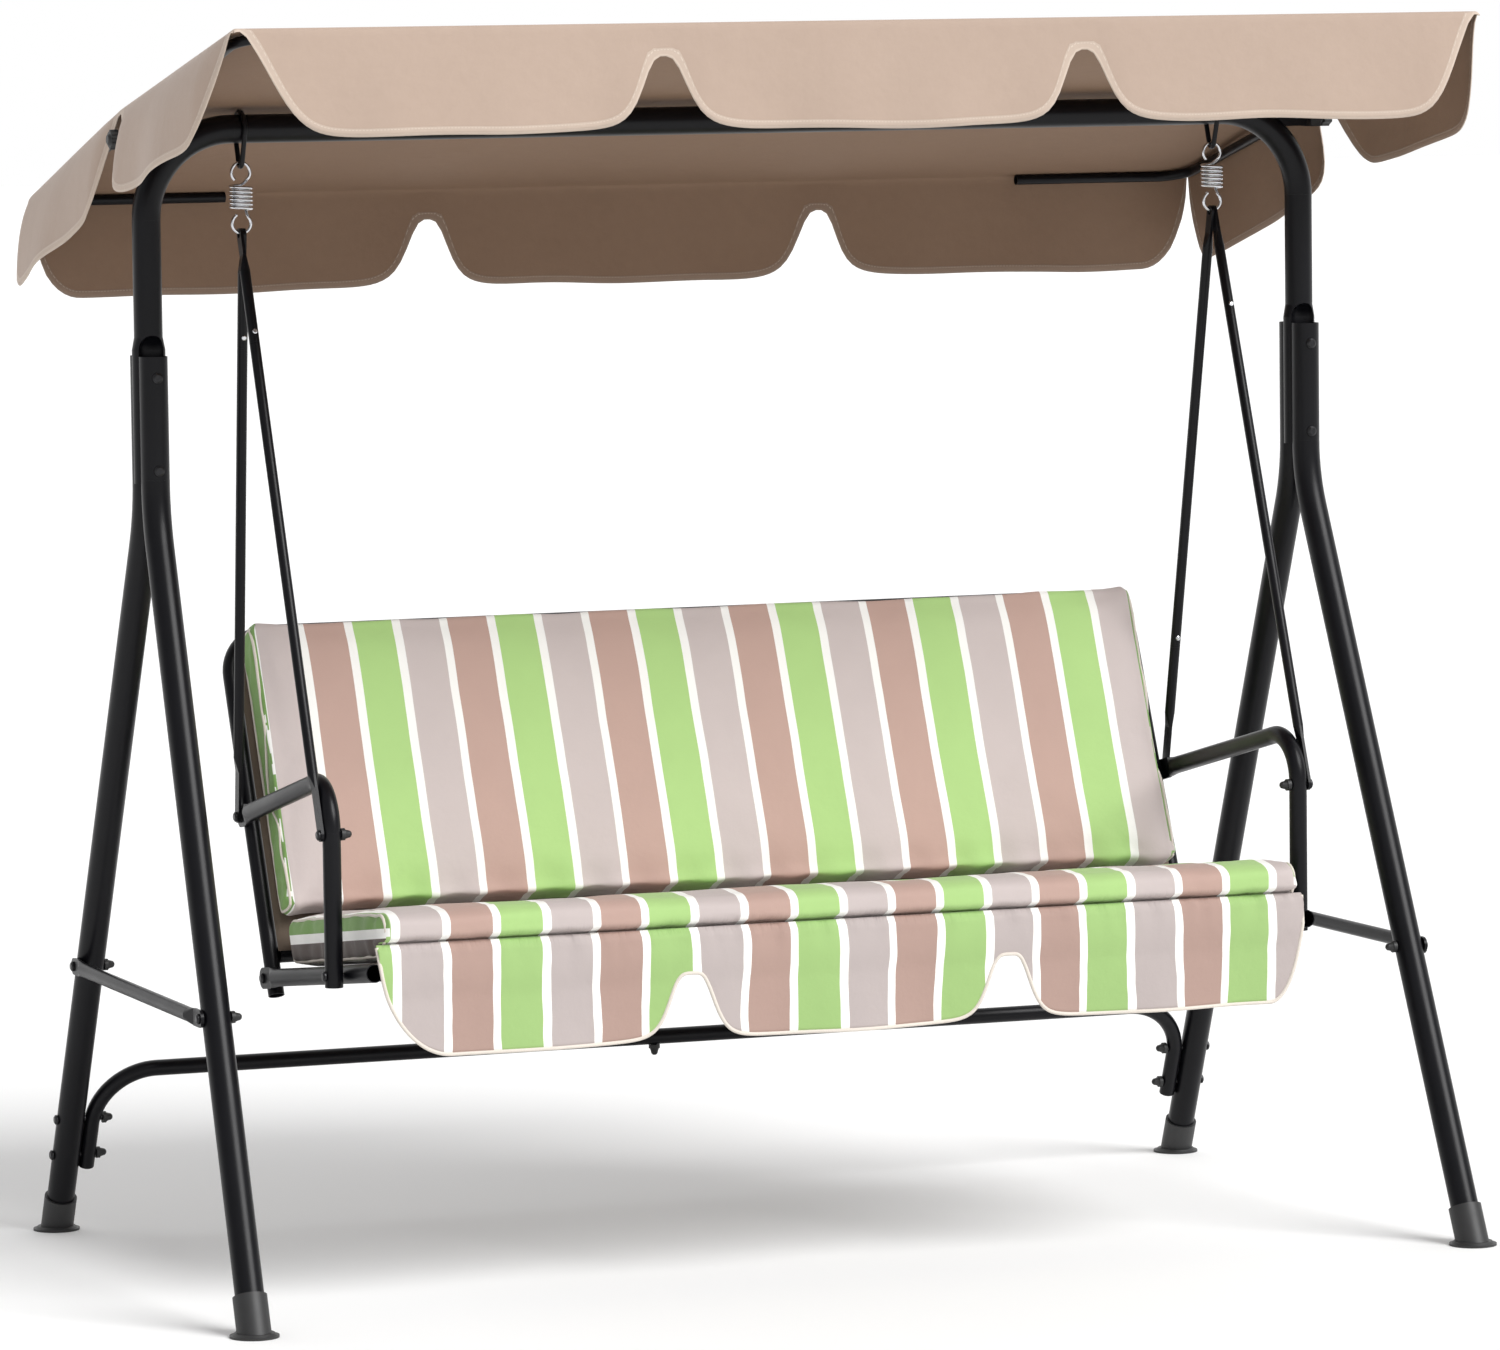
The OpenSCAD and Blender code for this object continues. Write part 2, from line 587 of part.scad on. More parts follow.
module seat_caps() color("#101012") for (s = sides) {
  facing([s * (arm_x - arm_r - 0.3), -arm_front, arm_bolt_z], [-s, 0, 0]) dome_cap();
  facing([s * (frame_x - back_r - 0.3), arm_rear, arm_rear_z], [-s, 0, 0]) dome_cap();
  facing([s * (arm_x - 3 * arm_r - 1.2), -arm_front, tube_z(-arm_front)], [-s, 0, 0]) dome_cap();
  facing([s * (frame_x - back_r - 0.3), back_y(seat_joint_z), seat_joint_z], [-s, 0, 0]) dome_cap();
}
module rod_screws() color("silver") for (s = sides) for (f = sides) {
  way = rod_screw_way(s, f);
  facing(rod_screw_at(s, f) + way * (rod_r + 0.2), way) bolt(rod_r, screw_r);
}

leg(-1, -1);  // leg_front_left
leg(1, -1);  // leg_front_right
leg(-1, 1);  // leg_rear_left
leg(1, 1);  // leg_rear_right
foot(-1, -1);  // foot_front_left
foot(1, -1);  // foot_front_right
foot(-1, 1);  // foot_rear_left
foot(1, 1);  // foot_rear_right
top_tube_left();
top_tube_right();
side_brace(-1);  // side_brace_left
side_brace(1);  // side_brace_right
crossbar_left();
crossbar_right();
hanger_loop(-1);  // hanger_loop_left
hanger_loop(1);  // hanger_loop_right
spring(-1);  // spring_left
spring(1);  // spring_right
rod_upper(-1, -1);  // rod_front_left_upper
rod_lower(-1, -1);  // rod_front_left_lower
rod_upper(1, -1);  // rod_front_right_upper
rod_lower(1, -1);  // rod_front_right_lower
rod_upper(-1, 1);  // rod_rear_left_upper
rod_lower(-1, 1);  // rod_rear_left_lower
rod_upper(1, 1);  // rod_rear_right_upper
rod_lower(1, 1);  // rod_rear_right_lower
arm(-1);  // arm_left
arm(1);  // arm_right
back_frame(-1);  // back_frame_left
back_frame(1);  // back_frame_right
seat_side(-1);  // seat_side_left
seat_side(1);  // seat_side_right
seat_bar(front_bar_half, -front_bar_y, tube_z(-front_bar_y));  // seat_front_bar
seat_bar(rear_bar_half, back_y(rear_bar_z), rear_bar_z);  // seat_rear_bar
back_sling();
seat_sling();
back_cushion();
seat_cushion();
seat_valance();
bracket(-1);  // canopy_bracket_left
bracket(1);  // canopy_bracket_right
block(-1);  // canopy_block_left
block(1);  // canopy_block_right
knob(-1);  // canopy_knob_left
knob(1);  // canopy_knob_right
canopy_rod(-1);  // canopy_rod_left
canopy_rod(1);  // canopy_rod_right
canopy_top();
valance_across(valance_front_y, edge_z(-canopy_front));  // canopy_valance_front
valance_across(valance_rear_y, edge_z(canopy_rear));  // canopy_valance_rear
valance_side(-canopy_x - 0.3 - cloth);  // canopy_valance_left
valance_side(canopy_x + 0.3);  // canopy_valance_right
leg_bolts();
frame_bolts();
frame_caps();
top_tube_screws();
seat_bolts();
seat_caps();
rod_screws();
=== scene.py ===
import math

import bpy
import numpy as np
from mathutils import Matrix, Vector, noise
from mathutils.bvhtree import BVHTree


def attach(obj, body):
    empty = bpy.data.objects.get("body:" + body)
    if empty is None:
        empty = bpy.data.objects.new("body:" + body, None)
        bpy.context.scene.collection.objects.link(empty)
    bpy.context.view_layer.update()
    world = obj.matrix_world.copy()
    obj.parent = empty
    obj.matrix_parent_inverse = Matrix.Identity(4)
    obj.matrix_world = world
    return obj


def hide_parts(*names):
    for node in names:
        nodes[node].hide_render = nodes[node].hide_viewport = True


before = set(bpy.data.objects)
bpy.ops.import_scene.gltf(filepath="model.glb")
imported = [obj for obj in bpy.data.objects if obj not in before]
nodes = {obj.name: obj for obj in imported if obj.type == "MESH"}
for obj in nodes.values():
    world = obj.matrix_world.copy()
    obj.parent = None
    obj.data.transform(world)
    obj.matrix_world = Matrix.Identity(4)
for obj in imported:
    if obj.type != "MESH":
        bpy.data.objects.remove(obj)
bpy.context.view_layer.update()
print("frame loaded:", len(nodes), "nodes")

# place in metres, angles in degrees, lens and sensor in millimetres
view = {
    "place": (-3.7782, -9.9533, 1.6962), "azimuth": -20.83, "elevation": 4.96, "roll": -0.73,
    "lens": 188.6, "sensor": 36, "farthest": 200,
}


def addCamera():
    azimuth, elevation, roll = (math.radians(view[k]) for k in ("azimuth", "elevation", "roll"))
    back = Vector((math.sin(azimuth) * math.cos(elevation),
                   -math.cos(azimuth) * math.cos(elevation), math.sin(elevation)))
    level = Vector((math.cos(azimuth), math.sin(azimuth), 0))
    upright = back.cross(level)
    right = level * math.cos(roll) + upright * math.sin(roll)
    up = upright * math.cos(roll) - level * math.sin(roll)
    data = bpy.data.cameras.new("camera")
    data.lens = view["lens"]
    data.sensor_width = view["sensor"]
    data.clip_end = view["farthest"]
    camera = bpy.data.objects.new("camera", data)
    bpy.context.scene.collection.objects.link(camera)
    turned = Matrix((right, up, back)).transposed().to_4x4()
    camera.matrix_world = Matrix.Translation(view["place"]) @ turned
    bpy.context.scene.camera = camera


studio = {
    "floorSize": 120, "floorColour": (0.90, 0.90, 0.895), "floorRoughness": 0.88,
    # the sky's greys from in front of the bench (0) to behind it (1), leaning toward +X by skyLean
    "sky": ((0.0, (0.72, 0.72, 0.73)), (0.3, (0.42, 0.42, 0.43)),
            (0.5, (0.40, 0.40, 0.41)), (0.66, (1.0, 1.0, 1.0))),
    "skyLean": 0.12, "skyLight": 1.0,
    "sunFrom": (0.50, -0.78, 0.80), "sunPower": 3.0, "sunAngle": 34,
}


def addStudio():
    bpy.ops.mesh.primitive_plane_add(size=studio["floorSize"])
    floor = bpy.context.object
    floor.name = "floor"
    paint = Paint("floorPaint")
    grain = paint.cloud(paint.place(), 2, 2)
    floor.data.materials.append(paint.done(studio["floorColour"], grain * 0.05 + studio["floorRoughness"]))
    world = bpy.data.worlds.new("studioSky")
    bpy.context.scene.world = world
    world.use_nodes = True
    sky = Paint("studioSky", world.node_tree)
    x, y = sky.split(sky.node("ShaderNodeTexCoord", out="Generated"))[:2]
    rearward = y * 0.5 + x * studio["skyLean"] + 0.5
    shade = sky.node("ShaderNodeValToRGB", {"stops": studio["sky"]}, {0: rearward})
    backdrop = world.node_tree.nodes["Background"]
    world.node_tree.links.new(shade.socket, backdrop.inputs["Color"])
    backdrop.inputs["Strength"].default_value = studio["skyLight"]
    sun = bpy.data.lights.new("keyLight", "SUN")
    sun.energy = studio["sunPower"]
    sun.angle = math.radians(studio["sunAngle"])
    lamp = bpy.data.objects.new("keyLight", sun)
    bpy.context.scene.collection.objects.link(lamp)
    lamp.matrix_world = Vector(studio["sunFrom"]).to_track_quat("Z", "Y").to_matrix().to_4x4()
    bpy.context.scene.view_settings.view_transform = "Standard"


# one output of a shader node, with the sums and comparisons that add maths nodes
class Wire:
    def __init__(self, paint, socket):
        self.paint, self.socket = paint, socket

    def maths(self, operation, *others):
        return self.paint.node("ShaderNodeMath", {"operation": operation}, dict(enumerate((self, *others))))

    def __add__(self, other):
        return self.maths("ADD", other)

    def __mul__(self, other):
        return self.maths("MULTIPLY", other)

    def __sub__(self, other):
        return self.maths("SUBTRACT", other)

    def __rsub__(self, other):
        return self.paint.node("ShaderNodeMath", {"operation": "SUBTRACT"}, {0: other, 1: self})

    def __truediv__(self, other):
        return self.maths("DIVIDE", other)

    def sine(self):
        return self.maths("SINE")

    def size(self):
        return self.maths("ABSOLUTE")

    def fraction(self):
        return self.maths("FRACT")

    def above(self, edge):
        return self.maths("GREATER_THAN", edge)

    def below(self, edge):
        return self.maths("LESS_THAN", edge)

    def least(self, other):
        return self.maths("MINIMUM", other)


# a material, or the world's tree, that is built node by node
class Paint:
    def __init__(self, name, tree=None):
        if not tree:
            self.material = bpy.data.materials.new(name)
            self.material.use_nodes = True
            tree = self.material.node_tree
            self.shader = tree.nodes["Principled BSDF"]
        self.tree = tree

    def node(self, kind, settings=None, sockets=None, out=0):
        made = self.tree.nodes.new(kind)
        for key, value in (settings or {}).items():
            if key == "stops":
                ramp = made.color_ramp
                while len(ramp.elements) < len(value):
                    ramp.elements.new(1)
                for element, (place, colour) in zip(ramp.elements, value):
                    element.position = place
                    element.color = (*colour, 1)
            elif key == "blending":
                made.color_ramp.interpolation = value
            else:
                setattr(made, key, value)
        for key, value in (sockets or {}).items():
            if isinstance(value, Wire):
                self.tree.links.new(value.socket, made.inputs[key])
            else:
                made.inputs[key].default_value = value
        return Wire(self, made.outputs[out])

    def place(self, mapName=None):
        if mapName:
            return self.node("ShaderNodeUVMap", {"uv_map": mapName})
        return self.node("ShaderNodeTexCoord", out="Object")

    def split(self, vector):
        first = self.node("ShaderNodeSeparateXYZ", None, {0: vector})
        outputs = first.socket.node.outputs
        return [Wire(self, outputs[k]) for k in range(3)]

    def cloud(self, vector, scale, detail=3, roughness=0.55):
        return self.node("ShaderNodeTexNoise", None,
                         {"Vector": vector, "Scale": scale, "Detail": detail, "Roughness": roughness}, "Fac")

    def mix(self, amount, a, b):
        return self.node("ShaderNodeMix", {"data_type": "RGBA"}, {0: amount, 6: a, 7: b}, 2)

    def bump(self, height, distance, strength=1.0, below=None):
        sockets = {"Height": height, "Distance": distance, "Strength": strength}
        if below:
            sockets["Normal"] = below
        return self.node("ShaderNodeBump", None, sockets)

    def done(self, colour, roughness, normal=None, constants=None):
        wired = {"Base Color": colour, "Roughness": roughness}
        if normal:
            wired["Normal"] = normal
        for key, value in wired.items():
            if isinstance(value, Wire):
                self.tree.links.new(value.socket, self.shader.inputs[key])
            else:
                self.shader.inputs[key].default_value = (*value, 1) if key == "Base Color" else value
        for key, value in (constants or {}).items():
            self.shader.inputs[key].default_value = value
        return self.material


# metals and plastics
def powderCoat():
    paint = Paint("powderCoat")
    place = paint.place()
    peel = paint.cloud(place, 900, 2)
    patch = paint.cloud(place, 14, 4)
    colour = paint.mix(patch, (0.0022, 0.0022, 0.0032, 1), (0.0050, 0.0050, 0.0068, 1))
    return paint.done(colour, patch * 0.14 + 0.26, paint.bump(peel, 0.0002, 0.4), {"Specular IOR Level": 0.2})


def brightZinc():
    paint = Paint("brightZinc")
    drawn = paint.cloud(paint.place(), 420, 4)
    colour = paint.mix(drawn, (0.50, 0.51, 0.54, 1), (0.78, 0.79, 0.81, 1))
    return paint.done(colour, drawn * 0.18 + 0.12, paint.bump(drawn, 0.0001, 0.4), {"Metallic": 1.0})


def blackZinc():
    paint = Paint("blackZinc")
    drawn = paint.cloud(paint.place(), 300, 4)
    colour = paint.mix(drawn, (0.012, 0.012, 0.013, 1), (0.04, 0.04, 0.043, 1))
    return paint.done(colour, drawn * 0.2 + 0.25, paint.bump(drawn, 0.0002, 0.4), {"Metallic": 0.7})


def mouldedPlastic(name, level):
    paint = Paint(name)
    place = paint.place()
    grain = paint.cloud(place, 1500, 3)
    patch = paint.cloud(place, 30, 3)
    colour = paint.mix(patch, (level * 0.8,) * 3 + (1,), (level * 1.3, level * 1.3, level * 1.35, 1))
    return paint.done(colour, patch * 0.15 + 0.42, paint.bump(grain, 0.0003, 0.35))


cloth = {"thread": 0.0011, "depth": 0.00022}


def weave(paint, across, along):
    step = math.tau / cloth["thread"]
    warp = (across * step).sine()
    weft = (along * step).sine()
    return warp * weft * 0.5 + 0.5


# the inner tints and the inner band are darker copies of the outer ones: painted shade on the canopy's
# underside
canopyTints = {
    "outer": ((0.375, 0.280, 0.222), (0.455, 0.348, 0.280)),
    "inner": ((0.200, 0.124, 0.080), (0.255, 0.164, 0.110)),
    "band": (0.56, 0.46, 0.38), "shadedInnerBand": (0.27, 0.20, 0.155), "thread": (0.60, 0.51, 0.43),
}
# distances in from the canopy's cut edge, and the rate of the stitches along it
binding = {"band": 0.0105, "lip": 0.0028, "seam": 0.0085, "seamHalf": 0.0005, "stitchRate": 1400}


def canopyCloth(side):
    paint = Paint(f"canopyCloth_{side}")
    dark, pale = canopyTints[side]
    flat = paint.place("flat")
    u, v = paint.split(flat)[:2]
    s, edge = paint.split(paint.place("hem"))[:2]
    threads = weave(paint, u, v)
    patch = paint.cloud(flat, 3.0, 4)
    fine = paint.cloud(flat, 60, 3)
    body = paint.mix(patch * 0.7 + fine * 0.3, (*dark, 1), (*pale, 1))
    band = edge.below(binding["band"])
    seam = (edge - binding["seam"]).size().below(binding["seamHalf"])
    stitch = seam * (s * binding["stitchRate"]).sine().above(-0.4)
    # the inner face takes the darker band, painted shade
    trim = canopyTints["band" if side == "outer" else "shadedInnerBand"]
    trimmed = paint.mix(band * 0.55 + edge.below(binding["lip"]) * 0.4, body, (*trim, 1))
    colour = paint.mix(stitch * (1.0 if side == "outer" else 0.5), trimmed, (*canopyTints["thread"], 1))
    creases = paint.bump(paint.cloud(flat, 7, 5), 0.016, 0.3)
    lap = paint.bump(band + stitch * 0.8, 0.0006, 0.8, creases)
    woven = paint.bump(threads, cloth["depth"], 0.35, lap)
    sheen = 0.2 if side == "outer" else 0.0
    return paint.done(colour, threads * 0.1 + 0.72, woven, {"Sheen Weight": sheen, "Specular IOR Level": 0.3})


def slingCloth():
    paint = Paint("slingCloth")
    flat = paint.place("flat")
    u, v = paint.split(flat)[:2]
    threads = weave(paint, u * 0.6, v * 0.6)
    patch = paint.cloud(flat, 5, 4)
    colour = paint.mix(patch, (0.105, 0.075, 0.052, 1), (0.165, 0.122, 0.088, 1))
    creases = paint.bump(paint.cloud(flat, 12, 5), 0.01, 0.2)
    woven = paint.bump(threads, 0.0004, 0.5, creases)
    return paint.done(colour, threads * 0.1 + 0.75, woven, {"Sheen Weight": 0.2})


# the darker green and the shadow tint are the end panels' green and brown cloth with painted shade
stripes = {
    "green": (0.400, 0.620, 0.215), "taupe": (0.560, 0.485, 0.465), "tan": (0.500, 0.335, 0.280),
    "white": (0.93, 0.92, 0.88), "shadedGreen": (0.20, 0.36, 0.10), "shadow": (0.11, 0.085, 0.075),
    "whiteWidth": 0.0115, "backStart": -0.0315, "backPitch": 0.0684, "seatStart": -0.012, "seatPitch": 0.069,
    "endLean": 0.13, "channelReach": 0.022,
}


# the stripes run up the cloth; an end panel shows the bands given for it
# a channel height adds drawn folds near it; a depth below 1 darkens the printed tints but not the white,
# painted shade
def stripedCloth(name, start, pitch, wander, ends=None, channel=None, depth=1.0):
    paint = Paint(name)
    place = paint.place()
    x, y, z = paint.split(place)
    drift = (paint.cloud(place, wander[0], 2) - 0.5) * wander[1]
    period = 3 * pitch
    white = stripes["whiteWidth"] / period
    turns = ((x + drift - (start - stripes["whiteWidth"] / 2)) / period).fraction()
    stops = []
    # depth darkens each tint but leaves the white: painted shade
    for k, tint in enumerate(("taupe", "tan", "green")):
        stops += [(k / 3, stripes["white"]), (k / 3 + white, tuple(v * depth for v in stripes[tint]))]
    printed = paint.node("ShaderNodeValToRGB", {"blending": "CONSTANT", "stops": stops}, {0: turns})
    if ends:
        low, high, bands = ends
        level = (z + y * stripes["endLean"] - low) / (high - low)
        stops = [(at, stripes[tint]) for at, tint in bands]
        printed = paint.node("ShaderNodeValToRGB", {"blending": "CONSTANT", "stops": stops}, {0: level})
    threads = weave(paint, x, y * 0.7 + z * 0.7)
    patch = paint.cloud(place, 7, 4)
    shade = paint.mix(patch * 0.6, (1.0, 1.0, 1.0, 1), (0.84, 0.84, 0.85, 1))
    multiplied = {"data_type": "RGBA", "blend_type": "MULTIPLY"}
    colour = paint.node("ShaderNodeMix", multiplied, {0: 1.0, 6: printed, 7: shade}, 2)
    creases = paint.bump(paint.cloud(place, 16, 5), 0.008, 0.25)
    if channel:
        near = 1 - ((z - channel).size() / stripes["channelReach"]).least(1)
        drawn = paint.node("ShaderNodeVectorMath", {"operation": "MULTIPLY"}, {0: place, 1: (75, 12, 9)})
        creases = paint.bump(paint.cloud(drawn, 1.0, 3) * near * near, 0.006, 0.9, creases)
    woven = paint.bump(threads, cloth["depth"], 0.35, creases)
    return paint.done(colour, threads * 0.08 + 0.70, woven, {"Sheen Weight": 0.15, "Sheen Roughness": 0.5})


def pipingCloth():
    paint = Paint("pipingCloth")
    place = paint.place()
    twill = paint.cloud(place, 700, 3)
    colour = paint.mix(twill, (0.60, 0.54, 0.47, 1), (0.76, 0.70, 0.63, 1))
    return paint.done(colour, twill * 0.1 + 0.7, paint.bump(twill, 0.0004, 0.5), {"Sheen Weight": 0.2})


# steps that several pieces share
def fresh():
    bpy.ops.object.select_all(action="DESELECT")


def selectOnly(made):
    fresh()
    bpy.context.view_layer.objects.active = made
    made.select_set(True)


# faces of a grid of points, laid out in outer rows of inner points
def gridFaces(outer, inner, flip=False):
    faces = []
    for i in range(outer - 1):
        for k in range(inner - 1):
            a, b = i * inner + k, (i + 1) * inner + k
            faces.append((a, b, b + 1, a + 1) if flip else (a, a + 1, b + 1, b))
    return faces


def newMesh(name, points, faces, body, uses, maps=None):
    mesh = bpy.data.meshes.new(name)
    mesh.from_pydata([tuple(p) for p in points], [], faces)
    mesh.update()
    made = bpy.data.objects.new(name, mesh)
    bpy.context.scene.collection.objects.link(made)
    for mapName, values in (maps or {}).items():
        layer = mesh.uv_layers.new(name=mapName)
        for loop in mesh.loops:
            layer.data[loop.index].uv = values[loop.vertex_index]
    mesh.shade_smooth()
    mesh.materials.append(uses)
    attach(made, body)
    return made


def applyAll(made):
    selectOnly(made)
    for modifier in list(made.modifiers):
        bpy.ops.object.modifier_apply(modifier=modifier.name)


# half the thickness on each side of the surface; an offset of one gives the inner face the next material,
# which for the canopy is a darker copy of its cloth, painted shade
def thicken(made, thickness, shadedInside=0):
    solid = made.modifiers.new("thickness", "SOLIDIFY")
    solid.material_offset = shadedInside
    solid.thickness = thickness
    solid.offset = 0
    applyAll(made)


def wireAlong(name, points, radius, body, uses, closed=False, sides=8):
    fresh()
    bpy.ops.curve.primitive_nurbs_path_add(enter_editmode=False, location=(0, 0, 0))
    made = bpy.context.object
    made.name = name
    curve = made.data
    curve.splines.clear()
    curve.dimensions = "3D"
    curve.bevel_depth = radius
    curve.bevel_resolution = sides // 2 - 1
    curve.use_fill_caps = not closed
    line = curve.splines.new("POLY")
    line.points.add(len(points) - 1)
    for point, where in zip(line.points, points):
        point.co = (*where, 1)
    line.use_cyclic_u = closed
    line.use_smooth = True
    bpy.ops.object.convert(target="MESH")
    made = bpy.context.object
    made.data.shade_smooth()
    made.data.materials.clear()
    made.data.materials.append(uses)
    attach(made, body)
    return made


def ripple(x, y, seed, scale=1.0):
    return noise.noise(Vector((x * scale, y * scale, seed)))


def eased(value, low, high):
    t = min(1.0, max(0.0, (value - low) / (high - low)))
    return t * t * (3 - 2 * t)


# lengths in metres, slope and flare in degrees; the edges lie in a plane that slopes through line, over the
# top tube, and ridge is the roof's height there
canopy = {
    "halfWidth": 0.866, "front": 0.507, "rear": 0.449, "line": 1.540, "slope": 13.5, "ridge": 1.5566,
    "cloth": 0.0014, "fold": 0.006, "step": 0.0085, "depth": 0.138, "rows": 18, "areaParts": 400,
    "notches": 0.292, "sideNotch": 0.503, "notchPeak": 0.30, "sidePeak": 0.05, "notchWidth": 0.034,
    # how far the hem takes to come down at the two ends of each side, and whether that corner is round
    "ends": {"front": (0.062, 0.050), "rear": (0.075, 0.070), "side": (0.060, 0.060)},
    "round": {"front": (0, 0), "rear": (1, 1), "side": (0, 1)},
    "least": 0.003, "sag": 0.007, "slack": 0.0025, "under": 0.0016, "wave": 0.0085,
    # degrees that each side stands out at its fold, and how soon it comes down to hang straight
    "flare": {"front": (8, 0.2), "rear": (8, 0.2), "left": (50, 0.055), "right": (44, 0.055)},
}


# how far a side hangs down at s along it
def canopyHang(side, s):
    c = canopy
    half = (c["front"] + c["rear"]) / 2 if side == "side" else c["halfWidth"]
    rise = 1
    for far, reach, rounded in zip((s, 2 * half - s), c["ends"][side], c["round"][side]):
        if rounded:
            rise *= math.sqrt(max(0, 1 - max(0, 1 - far / reach) ** 2.2))
        else:
            rise *= 1 - math.exp(-(far / reach) ** 2)
    notches = (c["sideNotch"],) if side == "side" else (half - c["notches"], half + c["notches"])
    peak = c["sidePeak"] if side == "side" else c["notchPeak"]
    dip = min(1 - (1 - peak) / (1 + (abs(s - at) / c["notchWidth"]) ** 3.1) for at in notches)
    uneven = 1 + 0.03 * ripple(s * 6, 0, 50.0 + len(side))
    return max(c["least"], c["depth"] * rise * dip * uneven)


def canopyRoof(x, y):
    c = canopy
    steep = math.tan(math.radians(c["slope"]))
    frontZ = c["line"] + c["front"] * steep
    rearZ = c["line"] - c["rear"] * steep
    reach = -y / c["front"] if y < 0 else y / c["rear"]
    end = frontZ if y < 0 else rearZ
    roof = c["ridge"] + (end - c["ridge"]) * reach
    across = 1 - min(1, abs(x) / c["halfWidth"]) ** 4
    sag = c["sag"] * math.sin(math.pi * min(1, reach)) ** 0.8 * across if 0 < reach < 1 else 0
    slack = c["slack"] * ripple(x * 3.0, y * 5.0, 3.1) * across * math.sin(math.pi * min(1, abs(reach)))
    return roof - c["under"] - sag + slack


# a fold with a small radius: how far out and down a point is, for an arc length past the edge
def foldOver(past, radius):
    quarter = radius * math.pi / 4
    if past < -quarter:
        return past + quarter - radius, 0
    if past > quarter:
        return 0, radius + past - quarter
    turned = (past + quarter) / radius
    return radius * math.sin(turned) - radius, radius - radius * math.cos(turned)


# even steps from low to high, with the extra values between them
def spread(low, high, step, extra=()):
    count = max(1, round((high - low) / step))
    values = {round(low + (high - low) * i / count, 6) for i in range(count + 1)}
    return sorted(values | {round(v, 6) for v in extra if low < v < high})


def makeCanopy(uses, shadedInside):
    c = canopy
    r = c["fold"]
    fine = (0.002, 0.0047, 0.0075)
    xs = spread(-c["halfWidth"], c["halfWidth"], c["step"],
                [k * (c["halfWidth"] - e) for k in (-1, 1) for e in fine])
    ys = spread(-c["front"], c["rear"], c["step"],
                [-c["front"] + e for e in fine] + [c["rear"] - e for e in fine])
    rows, nearFold = c["rows"], -3 * r
    points, faces, flat, hem, index = [], [], [], [], {}

    def put(x, y, pastX, pastY, edge, along, wave, outward, lift=0):
        signX = 1 if x > 0 else -1
        outX, downX = foldOver(pastX, r)
        outY, downY = foldOver(pastY, r)
        px = signX * (c["halfWidth"] + outX) if pastX > nearFold else x
        signY = 1 if y > 0 else -1
        limit = c["rear"] if y > 0 else c["front"]
        py = signY * (limit + outY) if pastY > nearFold else y
        insideX = max(-c["halfWidth"], min(c["halfWidth"], x))
        insideY = max(-c["front"], min(c["rear"], y))
        base = canopyRoof(insideX, insideY)
        where = Vector((px, py, base - downX - downY + lift)) + outward * wave
        key = (round(where.x, 5), round(where.y, 5), round(where.z, 5))
        if key not in index:
            index[key] = len(points)
            points.append(where)
            flat.append((x + signX * max(0, pastX), y + signY * max(0, pastY)))
            hem.append((along, edge))
        return index[key]

    def quad(a, b, d, e):
        ring = []
        for v in (a, b, d, e):
            if v not in ring:
                ring.append(v)
        if len(ring) > 2:
            faces.append(ring)

    still = Vector((0, 0, 0))

    # the place along the nearest hem and the distance to it, from a point on the roof
    def topEdge(x, y):
        sides = [(c["halfWidth"] - abs(x), canopyHang("side", y + c["front"]), y),
                 (c["rear"] - y, canopyHang("rear", x + c["halfWidth"]), x),
                 (c["front"] + y, canopyHang("front", x + c["halfWidth"]), x)]
        best = min(sides, key=lambda side: side[0] + side[1])
        return best[2], best[0] + best[1]

    top = {}
    for i, x in enumerate(xs):
        for j, y in enumerate(ys):
            along, edge = topEdge(x, y)
            pastY = (-c["front"] - y) if y < 0 else (y - c["rear"])
            top[i, j] = put(x, y, abs(x) - c["halfWidth"], pastY, edge, along, 0, still)
    for i in range(len(xs) - 1):
        for j in range(len(ys) - 1):
            quad(top[i, j], top[i + 1, j], top[i + 1, j + 1], top[i, j + 1])

    def hangSide(side, values, outward, fixed, seed, flip):
        rowsHere = {}
        for i, along in enumerate(values):
            s = along + (c["halfWidth"] if side in ("front", "rear") else c["front"])
            deep = canopyHang("side" if side in ("left", "right") else side, s)
            lean = math.sqrt(1 + min(9, slopeOf(side, s) ** 2))
            out = lift = lastPast = 0
            for k in range(rows + 1):
                part = (k / rows) ** 1.15
                past = deep * part
                swell = math.sin(along * 21 + seed) * 0.45 + ripple(along * 9, past * 4, seed) * 1.1
                wave = c["wave"] * (past / c["depth"]) ** 1.3 * swell
                angle, fade = c["flare"][side]
                angle *= (0.85 + 0.4 * ripple(along * 4, 0, seed + 20)) * min(1, deep / c["depth"] + 0.1)
                if side == "right":
                    angle *= 1 - 0.6 * eased(along, 0.0, 0.25)
                tilt = math.radians(angle) * math.exp(-past / fade)
                stepDown = past - lastPast
                out += stepDown * math.sin(tilt)
                lift += stepDown * (1 - math.cos(tilt))
                lastPast = past
                wave += out
                edge = (deep - past) / lean
                if side in ("front", "rear"):
                    pastY, pastX = past, abs(along) - c["halfWidth"]
                    at = (along, fixed)
                else:
                    pastX, pastY = past, (-c["front"] - along) if along < 0 else (along - c["rear"])
                    at = (fixed, along)
                if not k:
                    wave = lift = 0
                rowsHere[i, k] = put(*at, pastX, pastY, edge, along, wave, outward, lift)
        for i in range(len(values) - 1):
            for k in range(rows):
                ring = (rowsHere[i, k], rowsHere[i + 1, k], rowsHere[i + 1, k + 1], rowsHere[i, k + 1])
                quad(*(reversed(ring) if flip else ring))

    def slopeOf(side, s):
        step = 0.001
        name = "side" if side in ("left", "right") else side
        return (canopyHang(name, s + step) - canopyHang(name, s - step)) / (2 * step)

